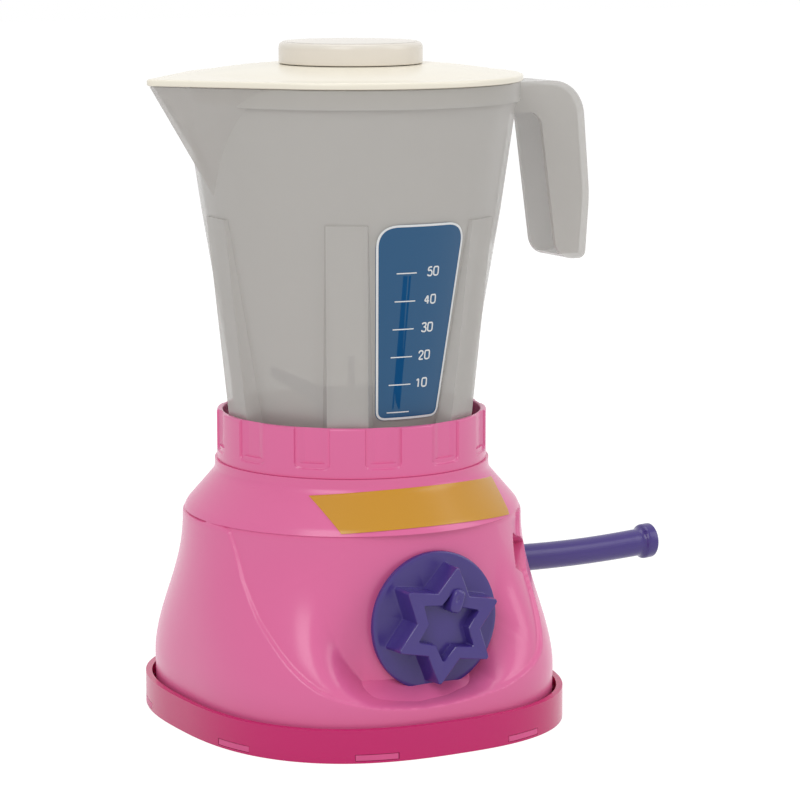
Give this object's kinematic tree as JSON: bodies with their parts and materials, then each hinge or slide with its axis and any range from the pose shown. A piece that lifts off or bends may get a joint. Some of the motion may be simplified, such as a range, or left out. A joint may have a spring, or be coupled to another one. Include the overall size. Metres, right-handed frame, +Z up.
{
  "type": "toy blender",
  "caption": "Toy blender: flared foot with hand crank and star knob, ring collar, milky ribbed jar with open handle and spout, domed lid with round cap.",
  "frame": {"origin": "on the jar's axis, on the surface that the toy stands on", "axes": "+Z up, -Y the front with the star knob, +X the side with the crank and the jar's handle, spout towards -X"},
  "size_m": [0.2275, 0.157, 0.25],
  "materials": {
    "shell_pink": "semi-gloss moulded",
    "tray_magenta": "semi-gloss moulded",
    "purple_plastic": "semi-gloss moulded",
    "milky_jar": "milky translucent",
    "lid_cream": "semi-gloss moulded",
    "cap_cream": "semi-gloss moulded",
    "label_blue": "printed film",
    "band_mustard": "printed film",
    "white_nylon": "matt moulded",
    "zinc_steel": "zinc plated"
  },
  "bodies": {
    "base": {"base_plate": "tray_magenta", "housing": "shell_pink", "jar_collar": "shell_pink", "shoulder_band_label": "band_mustard", "crank_bush": "white_nylon", "gear_frame": "white_nylon", "frame_screws": "zinc_steel", "drive_foot_bush": "white_nylon", "drive_top_bush": "white_nylon"},
    "knob": {"star_knob": "purple_plastic", "knob_retainer": "white_nylon"},
    "crank": {"crank": "purple_plastic", "crank_shaft": "zinc_steel", "crown_gear": "white_nylon", "crank_clip": "zinc_steel"},
    "drive": {"drive_shaft": "zinc_steel", "drive_pinion": "white_nylon", "drive_coupling": "white_nylon"},
    "jar": {"jar": "milky_jar", "jar_bush": "white_nylon", "jar_scale_label": "label_blue"},
    "blade": {"blade_coupling": "white_nylon", "blade_shaft": "zinc_steel", "blade_rotor": "purple_plastic"},
    "lid": {"lid": "lid_cream"},
    "cap": {"filler_cap": "cap_cream"}
  },
  "joints": [
    {"name": "crank_turn", "type": "hinge", "parent": "base", "child": "crank", "pos_m": [0.069, 0, 0.0625], "axis": [1, 0, 0], "continuous": true},
    {"name": "drive_turn", "type": "hinge", "parent": "base", "child": "drive", "pos_m": [0, 0, 0], "axis": [0, 0, 1], "continuous": true},
    {"name": "knob_turn", "type": "hinge", "parent": "base", "child": "knob", "pos_m": [0, -0.0605, 0.0454], "axis": [0, -1, 0], "continuous": true},
    {"name": "jar_lift", "type": "slide", "parent": "base", "child": "jar", "axis": [0, 0, 1], "range_m": [0, 0.04]},
    {"name": "blade_turn", "type": "hinge", "parent": "jar", "child": "blade", "pos_m": [0, 0, 0.1], "axis": [0, 0, 1], "continuous": true},
    {"name": "lid_lift", "type": "slide", "parent": "jar", "child": "lid", "axis": [0, 0, 1], "range_m": [0, 0.025]},
    {"name": "cap_lift", "type": "slide", "parent": "lid", "child": "cap", "axis": [0, 0, 1], "range_m": [0, 0.02]}
  ],
  "couplings": [
    {"joint": "drive_turn", "follows": "crank_turn", "ratio": -3},
    {"joint": "blade_turn", "follows": "crank_turn", "ratio": -3}
  ]
}
